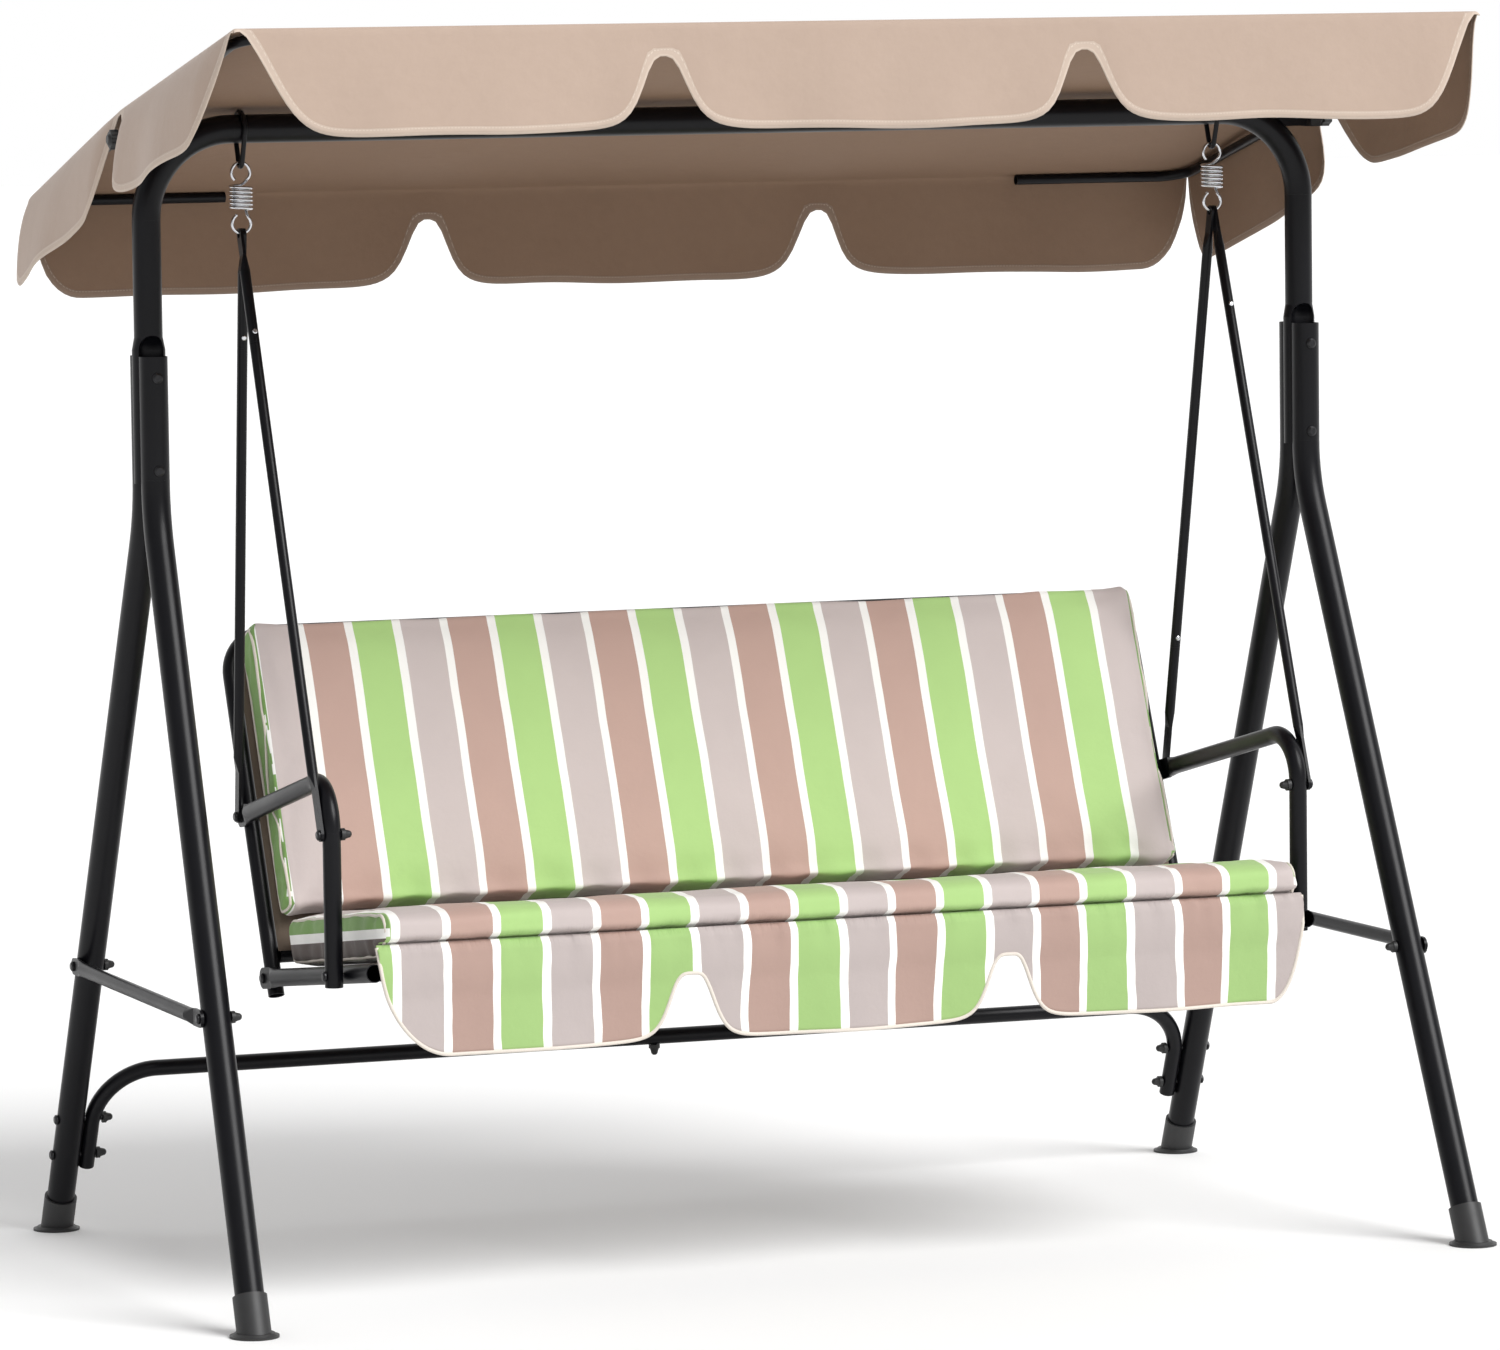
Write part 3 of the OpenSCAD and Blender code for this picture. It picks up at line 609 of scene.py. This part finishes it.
    hangSide("front", xs, Vector((0, -1, 0)), -c["front"], 1.7, True)
    hangSide("rear", xs, Vector((0, 1, 0)), c["rear"], 4.2, False)
    hangSide("left", ys, Vector((-1, 0, 0)), -c["halfWidth"], 7.9, False)
    hangSide("right", ys, Vector((1, 0, 0)), c["halfWidth"], 2.6, True)
    made = newMesh("canopyCover", points, faces, "canopy", uses, {"flat": flat, "hem": hem})
    selectOnly(made)
    bpy.ops.object.mode_set(mode="EDIT")
    bpy.ops.mesh.select_all(action="SELECT")
    bpy.ops.mesh.normals_make_consistent(inside=False)
    bpy.ops.object.mode_set(mode="OBJECT")
    # the inner face gets the darker copy of the cloth: painted shade on the underside
    made.data.materials.append(shadedInside)
    thicken(made, c["cloth"], shadedInside=1)
    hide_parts("canopy_top", "canopy_valance_front", "canopy_valance_rear",
                "canopy_valance_left", "canopy_valance_right")
    width, length, parts = 2 * c["halfWidth"], c["front"] + c["rear"], c["areaParts"]
    whole = width * length
    for side, reach in (("front", width), ("rear", width), ("side", length), ("side", length)):
        whole += sum(canopyHang(side, reach * (k + 0.5) / parts) for k in range(parts)) * reach / parts


# each cushion is a box in its own tilted frame, which place and lean set
cushions = {
    "voxel": 0.0075, "pressure": 4.0, "frames": 20, "held": 0.85, "piping": 0.0021,
    "seamDepth": 0.0022, "seamHalf": 0.003, "panel": 0.008,
    # cap is the most that the filling pushes out, limit keeps the hidden face off the sling
    "back": {"place": (0, 0.036, 0.383), "lean": -23.5, "low": (-0.6510, -0.0630, 0.086),
             "high": (0.6510, -0.0150, 0.4935), "round": 0.009, "cap": 0.0065, "end": 0.6455,
             "topSeam": 0.488, "limit": -0.01335},
    "seat": {"place": (0, 0.010, 0.392), "lean": -7.5, "low": (-0.6510, -0.3950, 0.019),
             "high": (0.6510, 0.007, 0.0785), "round": 0.014, "cap": 0.006, "end": 0.6430,
             "limit": 0.01435},
}


def placeOf(c):
    return Matrix.Translation(c["place"]) @ Matrix.Rotation(math.radians(c["lean"]), 4, "X")


def inflate(made, cap):
    start = np.empty(len(made.data.vertices) * 3, np.float32)
    made.data.vertices.foreach_get("co", start)
    facing = np.empty(len(start), np.float32)
    made.data.vertices.foreach_get("normal", facing)
    facing = facing.reshape(-1, 3)
    puff = made.modifiers.new("puff", "CLOTH")
    puff.settings.quality = 5
    puff.settings.mass = 0.3
    puff.settings.tension_stiffness = 12
    puff.settings.compression_stiffness = 12
    puff.settings.bending_stiffness = 0.4
    puff.settings.use_pressure = True
    puff.settings.uniform_pressure_force = cushions["pressure"]
    puff.settings.effector_weights.gravity = 0
    puff.point_cache.frame_end = cushions["frames"] + 1
    for step in range(1, cushions["frames"] + 1):
        bpy.context.scene.frame_set(step)
    applyAll(made)
    bpy.context.scene.frame_set(1)
    moved = np.empty(len(start), np.float32)
    made.data.vertices.foreach_get("co", moved)
    shift = (moved - start).reshape(-1, 3)
    sunk = np.minimum(0, (shift * facing).sum(axis=1, keepdims=True))
    shift -= facing * sunk * cushions["held"]  # the filling holds the corners out
    far = np.linalg.norm(shift, axis=1, keepdims=True)
    shift *= np.minimum(1, cap / np.maximum(far, 1e-9))
    made.data.vertices.foreach_set("co", (start.reshape(-1, 3) + shift).ravel())
    made.data.update()


def padBlock(name, c):
    fresh()
    centre = [(a + b) / 2 for a, b in zip(c["low"], c["high"])]
    bpy.ops.mesh.primitive_cube_add(size=1, location=centre)
    made = bpy.context.object
    made.name = name
    made.scale = [b - a for a, b in zip(c["low"], c["high"])]
    bpy.ops.object.transform_apply(location=True, rotation=False, scale=True)
    rounded = made.modifiers.new("rounded", "BEVEL")
    rounded.width = c["round"]
    rounded.segments = 5
    applyAll(made)
    made.data.remesh_voxel_size = cushions["voxel"]
    bpy.ops.object.voxel_remesh()
    return made


def shape(made, change):
    count = len(made.data.vertices)
    spots, facing = np.empty(count * 3, np.float32), np.empty(count * 3, np.float32)
    made.data.vertices.foreach_get("co", spots)
    made.data.vertices.foreach_get("normal", facing)
    pairs = zip(spots.reshape(-1, 3).tolist(), facing.reshape(-1, 3).tolist())
    changed = [tuple(change(Vector(p), Vector(n))) for p, n in pairs]
    made.data.vertices.foreach_set("co", np.array(changed, np.float32).ravel())
    made.data.update()


def smoothOnce(made):
    soft = made.modifiers.new("softer", "SUBSURF")
    soft.levels = soft.render_levels = 1
    applyAll(made)
    made.data.shade_smooth()


# the outline of a cushion's end at x, found on its surface
def endOutline(made, c, x):
    surface = BVHTree.FromObject(made, bpy.context.evaluated_depsgraph_get())
    (lowY, lowZ), (highY, highZ) = c["low"][1:], c["high"][1:]
    inset = c["round"]
    line = []
    for turn, (y, z) in enumerate(((highY, highZ), (lowY, highZ), (lowY, lowZ), (highY, lowZ))):
        centre = Vector((x, y - inset if y == highY else y + inset, z - inset if z == highZ else z + inset))
        for k in range(7):  # a quarter turn in steps of 15 degrees
            angle = math.radians(90 * turn + 15 * k)
            line.append((centre, Vector((0, math.cos(angle), math.sin(angle)))))
    outline = []
    for (centre, way), (after, nextWay) in zip(line, line[1:] + line[:1]):
        gap = (after - centre).length
        count = max(1, round(gap / 0.010))
        for k in range(count):
            start = centre.lerp(after, k / count)
            aim = way.lerp(nextWay, k / count).normalized()
            hit = surface.ray_cast(start + aim * 0.06, -aim)
            if hit[0]:
                outline.append(hit[0] + aim * 0.0006)
    for _ in range(2):
        outline = [(outline[k - 1] + 2 * outline[k] + outline[(k + 1) % len(outline)]) / 4
                   for k in range(len(outline))]
    return outline


def finishCushion(made, c, node, uses):
    place = placeOf(c)
    outlines = [endOutline(made, c, side * c["end"]) for side in (-1, 1)]
    made.data.materials.clear()
    for finish in uses[:2]:
        made.data.materials.append(finish)
    for face in made.data.polygons:
        if abs(face.center.x) > c["end"] - cushions["panel"] and abs(face.normal.x) > 0.5:
            face.material_index = 1
    made.data.transform(place)
    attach(made, "seat")
    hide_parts(node)
    for side, outline in zip(("left", "right"), outlines):
        piped = wireAlong(f"{made.name}Piping_{side}", [place @ p for p in outline], cushions["piping"],
                          "seat", uses[2], closed=True)


# a sewn groove of a given depth and half width, d away from its line
def groove(d, depth, width):
    return depth * math.exp(-(d / width) ** 2)


def makeBackCushion(uses, endUses, pipeUses):
    c = cushions["back"]
    made = padBlock("backCushion", c)
    inflate(made, c["cap"])
    smoothOnce(made)
    middleZ = (c["low"][2] + c["high"][2]) / 2

    def change(p, n):
        x, z = p.x, p.z
        end = abs(x) - c["end"]
        pull = groove(end, cushions["seamDepth"], cushions["seamHalf"]) * (1 - abs(n.x))
        ruch = 0.0045 * eased(end, -0.002, 0.004) * ripple(z * 42 + p.y * 30, p.y * 26, 1.3)
        top = abs(z - c["topSeam"])
        pull += groove(top, 0.0012, 0.004) if n.y < 0.3 else 0
        soft = 0.0022 * ripple(x * 5.5, z * 9, 5.0) + 0.0011 * ripple(x * 17, z * 23, 8.0)
        crease = 0.0016 * max(0, ripple(x * 9 + z * 9, z * 4 - x * 2, 12.0)) * eased(abs(x), 0.3, 0.62)
        low = 0.0020 * math.sin(x * 95 + 3 * ripple(x * 5, 0, 3.0)) * eased(-z, -0.15, -0.085)
        p -= n * pull
        p += n * (ruch + (soft - crease + low) * (1 if n.y < 0 else 0.4))
        p.y = min(p.y, c["limit"])
        if p.z > middleZ:
            p.z += 0.0016 * ripple(x * 7, 0, 9.9)
        return p
    shape(made, change)
    finishCushion(made, c, "back_cushion", (uses, endUses, pipeUses))


def makeSeatCushion(uses, endUses, pipeUses):
    c = cushions["seat"]
    made = padBlock("seatCushion", c)
    inflate(made, c["cap"])
    smoothOnce(made)
    turned = placeOf(c)
    back = turned.inverted()
    channelZ, flapY = flap["top"] + 0.0005, flap["plane"]

    def change(p, n):
        x, y = p.x, p.y
        end = abs(x) - c["end"]
        p -= n * groove(end, cushions["seamDepth"], cushions["seamHalf"]) * (1 - abs(n.x))
        p += n * 0.004 * eased(end, -0.002, 0.004) * ripple(y * 36, p.z * 30, 4.4)
        soft = 0.0030 * ripple(x * 5, y * 9, 15.0) + 0.0014 * ripple(x * 15, y * 21, 18.0)
        p += n * soft * (1 if n.z > 0 else 0.3)
        p.z = max(p.z, c["limit"])
        world = turned @ p
        if world.y < -0.30:  # the front roll, the sewn channel under it and the face behind the flap
            pucker = 0.5 + 0.9 * ripple(x * 30, 0, 21.0)
            front = eased(-world.y, 0.33, 0.36)
            rollOut = math.exp(-((world.z - channelZ - 0.020) / 0.020) ** 4)
            goal = flapY - 0.0045 + 0.0012 * ripple(x * 14, 0, 30.0)
            crooked = 0.0022 * ripple(x * 21, 0, 27.0)
            pull = groove(world.z - channelZ - crooked, 0.0080 + 0.0060 * pucker, 0.0038 + 0.0016 * pucker)
            world.y += front * ((goal - world.y) * rollOut * eased(-world.y, 0.355, 0.372) + pull)
            under = eased(channelZ - world.z, 0.001, 0.006)
            world.y = world.y * (1 - under) + max(world.y, flapY + 0.0045) * under
            p = back @ world
        return p
    shape(made, change)
    finishCushion(made, c, "seat_cushion", (uses, endUses, pipeUses))


# the flap that hangs on the front of the seat, its notches either side of the middle
flap = {
    "half": 0.655, "plane": -0.3847, "top": 0.479, "depth": 0.146, "least": 0.003, "cloth": 0.0016,
    "corners": (0.100, 0.048), "notches": 0.225, "notchWidth": 0.033, "notchPeak": 0.40,
    "wave": 0.0085, "gather": 0.0048, "gatherReach": 0.026, "tuck": 0.0075, "tuckReach": 0.0055,
    "puff": 0.0035, "puffReach": 0.07, "rows": 26, "step": 0.0055, "piping": 0.0026,
    "hemPoints": 700, "areaParts": 600,
}


def flapHang(s):
    f = flap
    rise = 1
    for far, corner in ((s, f["corners"][0]), (2 * f["half"] - s, f["corners"][1])):
        rise *= math.sqrt(max(0, 1 - max(0, 1 - far / corner) ** 2))
    dip = min(1 - (1 - f["notchPeak"]) / (1 + (abs(s - f["half"] - k * f["notches"]) / f["notchWidth"]) ** 4)
              for k in (-1, 1))
    return max(f["least"], f["depth"] * rise * dip)


def flapPoint(x, past):
    f = flap
    swell = 0.55 * math.sin(x * 29 + 1.1) + ripple(x * 7, past * 3, 40.0)
    wave = f["wave"] * (past / f["depth"]) ** 1.1 * swell
    crimp = ripple(x * 30, 0, 21.0) + 0.6 * ripple(x * 62, past * 20, 23.0)
    gather = f["gather"] * math.exp(-past / f["gatherReach"]) * crimp
    tuck = f["tuck"] * math.exp(-(past / f["tuckReach"]) ** 2)
    puff = -f["puff"] * math.sin(math.pi * (past / f["puffReach"])) if past < f["puffReach"] else 0
    return Vector((x, f["plane"] + tuck + puff + gather - wave, f["top"] - past))


def makeFlap(uses, pipeUses):
    f = flap
    fine = (0.0003, 0.001, 0.002, 0.0035)
    xs = spread(-f["half"], f["half"], f["step"], [k * (f["half"] - e) for k in (-1, 1) for e in fine])
    points, flat = [], []
    for x in xs:
        deep = flapHang(x + f["half"])
        for k in range(f["rows"] + 1):
            past = deep * (k / f["rows"]) ** 1.1
            points.append(flapPoint(x, past))
            flat.append((x, past))
    made = newMesh("seatFlap", points, gridFaces(len(xs), f["rows"] + 1), "seat", uses, {"flat": flat})
    thicken(made, f["cloth"])
    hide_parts("seat_valance")
    hemLine = []
    for i in range(f["hemPoints"]):
        x = -f["half"] + 2 * f["half"] * i / (f["hemPoints"] - 1)
        hemLine.append(flapPoint(x, flapHang(x + f["half"])))
    piping = wireAlong("seatFlapPiping", hemLine, f["piping"], "seat", pipeUses)
    parts = f["areaParts"]
    area = sum(flapHang(2 * f["half"] * (k + 0.5) / parts) for k in range(parts)) * 2 * f["half"] / parts


# the cloth behind the back cushion and under the seat cushion, in the cushions' own frames
slings = {
    "back": {"half": 0.656, "low": 0.042, "high": 0.478, "front": -0.0121, "cloth": 0.0010, "sag": 0.004},
    "seat": {"half": 0.654, "low": -0.3843, "high": 0.012, "over": 0.0131, "cloth": 0.0010, "sag": 0.004},
}


def makeBackSling(uses):
    s = slings["back"]
    place = placeOf(cushions["back"])
    xs = spread(-s["half"], s["half"], 0.012)
    zs = spread(s["low"], s["high"], 0.007)
    points, flat = [], []
    for z in zs:
        for x in xs:
            rise = math.pi * (z - s["low"]) / (s["high"] - s["low"])
            sag = s["sag"] * math.cos(math.pi * x / (2 * s["half"])) * math.sin(rise)
            points.append(place @ Vector((x, s["front"] + 0.7 * sag, z)))
            flat.append((x, z))
    made = newMesh("backSling", points, gridFaces(len(zs), len(xs)), "seat", uses, {"flat": flat})
    thicken(made, s["cloth"])
    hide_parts("back_sling")


def makeSeatSling(uses):
    s = slings["seat"]
    place = placeOf(cushions["seat"])
    xs = spread(-s["half"], s["half"], 0.010)
    ys = spread(s["low"], s["high"], 0.008)
    points, flat = [], []
    for x in xs:
        for y in ys:
            reach = (y - s["low"]) / (s["high"] - s["low"])
            sag = s["sag"] * math.cos(math.pi * x / (2 * s["half"])) * math.sin(math.pi * reach)
            points.append(place @ Vector((x, y, s["over"] - sag)))
            flat.append((x, y))
    made = newMesh("seatSling", points, gridFaces(len(xs), len(ys), flip=True), "seat", uses, {"flat": flat})
    thicken(made, s["cloth"])
    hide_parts("seat_sling")


# low and high are the coil's ends, hook the upper ring's top and eye the lower ring's bottom
springs = {
    "x": 0.702, "coil": 0.0143, "wire": 0.0020, "low": 1.4180, "high": 1.4540, "turns": 6, "turnParts": 24,
    "ring": 0.013, "ringParts": 28, "ringSweep": 290, "hook": 1.482, "eye": 1.3885,
}


def springLine(side):
    s = springs

    def openRing(first, centre):
        ring = []
        for k in range(s["ringParts"] + 1):
            angle = math.radians(first + s["ringSweep"] * k / s["ringParts"])
            ring.append(Vector((s["ring"] * math.sin(angle), 0, centre + s["ring"] * math.cos(angle))))
        return ring

    line = openRing(-140, s["hook"] - s["ring"])  # the upper hook ends over the coil
    bottom, top = s["low"] + s["wire"], s["high"] - s["wire"]
    count = s["turnParts"] * s["turns"]
    start = math.radians(60)
    for k in range(count + 1):
        angle = start + math.tau * s["turns"] * k / count
        height = top + (bottom - top) * k / count
        line.append(Vector((s["coil"] * math.cos(angle), s["coil"] * math.sin(angle), height)))
    line += openRing(40, s["eye"] + s["ring"])
    for _ in range(2):
        between = [(a + 2 * b + c) / 4 for a, b, c in zip(line, line[1:], line[2:])]
        line = [line[0]] + between + [line[-1]]
    return [p + Vector((side * s["x"], 0, 0)) for p in line]


def makeSprings(uses):
    for side, name in ((-1, "left"), (1, "right")):
        made = wireAlong(f"coilSpring_{name}", springLine(side), springs["wire"], "springs", uses, sides=10)
        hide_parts(f"spring_{name}")


# finishes of the frame's own pieces
finishes = {
    "black": powderCoat(), "zinc": brightZinc(), "bolts": blackZinc(),
    "boots": mouldedPlastic("bootPlastic", 0.020), "plastic": mouldedPlastic("blackPlastic", 0.012),
}


def finishOf(node):
    if node.startswith("foot_"):
        return "boots"
    if node in ("leg_bolts", "frame_bolts", "seat_bolts"):
        return "bolts"
    if node in ("frame_caps", "seat_caps") or "_block_" in node or "_knob_" in node:
        return "plastic"
    if node in ("top_tube_screws", "rod_screws") or node.startswith("spring_"):
        return "zinc"
    return "black"


def paintNodes():
    for name, made in nodes.items():
        uses = finishes[finishOf(name)]
        if not made.material_slots:
            made.data.materials.append(uses)
        for held in made.material_slots:
            held.material = uses


addCamera()
addStudio()
paintNodes()
print("frame painted")
brown = slingCloth()
makeCanopy(canopyCloth("outer"), canopyCloth("inner"))
print("canopy made")
makeSprings(finishes["zinc"])
makeBackSling(brown)
makeSeatSling(brown)
print("springs and slings made")
piping = pipingCloth()
# an end panel's low and high heights and its tints from low to high; a depth below 1 darkens the stripes'
# tints, painted shade on the flap and the seat cushion
# the end panels take the darker green and the shadow tint, painted shade on green and brown cloth
seatEnd = (0.405, 0.485, ((0.0, "shadow"), (0.42, "white"), (0.58, "shadedGreen")))
backEnd = (0, 1, ((0.0, "shadedGreen"), (0.9, "shadedGreen")))
backPitch, seatPitch = stripes["backPitch"], stripes["seatPitch"]
backStart, seatStart = stripes["backStart"], stripes["seatStart"]
makeFlap(stripedCloth("flapStripes", seatStart, seatPitch, (9, 0.012), channel=flap["top"], depth=0.80),
         piping)
makeBackCushion(stripedCloth("backStripes", backStart, backPitch, (4, 0.005)),
                stripedCloth("backEnds", 0, backPitch, (4, 0.005), backEnd), piping)
seatCloth = stripedCloth("rollStripes", seatStart, seatPitch, (5, 0.007), channel=flap["top"], depth=0.92)
makeSeatCushion(seatCloth, stripedCloth("seatEnds", 0, seatPitch, (5, 0.007), seatEnd), piping)
print("cushions made")
